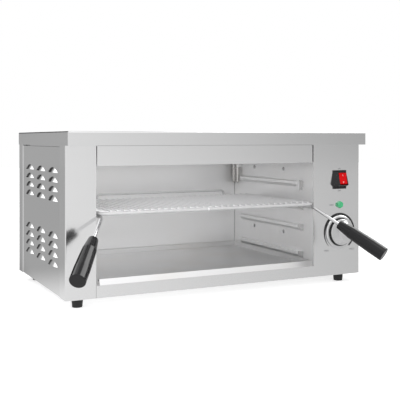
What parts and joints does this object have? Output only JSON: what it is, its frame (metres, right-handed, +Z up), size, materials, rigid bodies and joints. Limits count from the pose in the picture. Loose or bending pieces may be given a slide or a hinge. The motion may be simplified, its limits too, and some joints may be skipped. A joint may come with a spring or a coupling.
{
  "type": "cheese melter grill",
  "caption": "Countertop cheese melter: an open-fronted stainless grill with radiant elements under its roof, louvred sides, a wire rack with two handles and a crumb tray",
  "frame": {"origin": "centre of the footprint between the four feet, on the counter plane", "axes": "X to the right seen from the front, Y from the open front to the back, Z up; the controls are at +X"},
  "size_m": [0.6399, 0.4853, 0.3],
  "materials": {
    "stainless_sheet": "satin stainless sheet, fine grain",
    "polished_sheet": "bright stainless sheet",
    "plated_wire": "bright plated wire",
    "grip_plastic": "satin black moulded grip",
    "element_sheath": "heat-darkened metal sheath",
    "brass_fittings": "turned brass",
    "ceramic": "cream ceramic",
    "phial_metal": "drawn tube",
    "knob_silver": "satin silver",
    "black_plastic": "black moulded plastic",
    "rocker_red": "translucent red",
    "lens_green": "translucent green lens",
    "foot_rubber": "black rubber",
    "zinc_fasteners": "bright zinc plate"
  },
  "bodies": {
    "body": {"top_cover": "stainless_sheet", "top_deck": "stainless_sheet", "left_front_column": "stainless_sheet", "control_panel": "stainless_sheet", "header_panel": "stainless_sheet", "left_side_panel": "stainless_sheet", "right_side_panel": "stainless_sheet", "rear_panel": "stainless_sheet", "base_panel": "stainless_sheet", "inner_left_wall": "stainless_sheet", "inner_right_wall": "stainless_sheet", "inner_back_wall": "stainless_sheet", "cavity_floor": "stainless_sheet", "reflector_plate": "polished_sheet", "front_element": "element_sheath", "rear_element": "element_sheath", "left_element_hanger": "stainless_sheet", "right_element_hanger": "stainless_sheet", "element_ferrules": "brass_fittings", "element_terminals": "ceramic", "thermostat_body": "ceramic", "thermostat_phial": "phial_metal", "limit_thermostat": "ceramic", "limit_phial": "phial_metal", "phial_clips": "stainless_sheet", "switch_body": "black_plastic", "indicator_lens": "lens_green", "indicator_body": "black_plastic", "terminal_block": "ceramic", "cable_gland": "black_plastic", "gland_nut": "black_plastic", "front_left_foot": "foot_rubber", "front_right_foot": "foot_rubber", "rear_left_foot": "foot_rubber", "rear_right_foot": "foot_rubber", "foot_screws": "zinc_fasteners", "foot_nuts": "zinc_fasteners", "wall_screws": "zinc_fasteners", "rear_screws": "zinc_fasteners", "hanger_screws": "zinc_fasteners", "thermostat_screws": "zinc_fasteners"},
    "tray": {"crumb_tray": "polished_sheet"},
    "rack": {"rack_frame": "plated_wire", "rack_cross_wires": "plated_wire", "rack_long_wires": "plated_wire", "rack_guard_rail": "plated_wire", "left_handle_arm": "plated_wire", "right_handle_arm": "plated_wire", "left_handle_grip": "grip_plastic", "right_handle_grip": "grip_plastic"},
    "knob": {"thermostat_shaft": "zinc_fasteners", "dial_ring": "knob_silver", "knob_hub": "black_plastic", "knob_cap": "knob_silver"},
    "rocker": {"switch_rocker": "rocker_red"}
  },
  "joints": [
    {"name": "rack_slide", "type": "slide", "parent": "body", "child": "rack", "axis": [0, -1, 0], "range_m": [0, 0.2]},
    {"name": "tray_slide", "type": "slide", "parent": "body", "child": "tray", "axis": [0, -1, 0], "range_m": [0, 0.25]},
    {"name": "knob_turn", "type": "hinge", "parent": "body", "child": "knob", "pos_m": [0.255, -0.168, 0.1025], "axis": [0, 1, 0], "range_deg": [0, 300]},
    {"name": "rocker_tilt", "type": "hinge", "parent": "body", "child": "rocker", "pos_m": [0.255, -0.1754, 0.2083], "axis": [-1, 0, 0], "range_deg": [0, 10]}
  ]
}
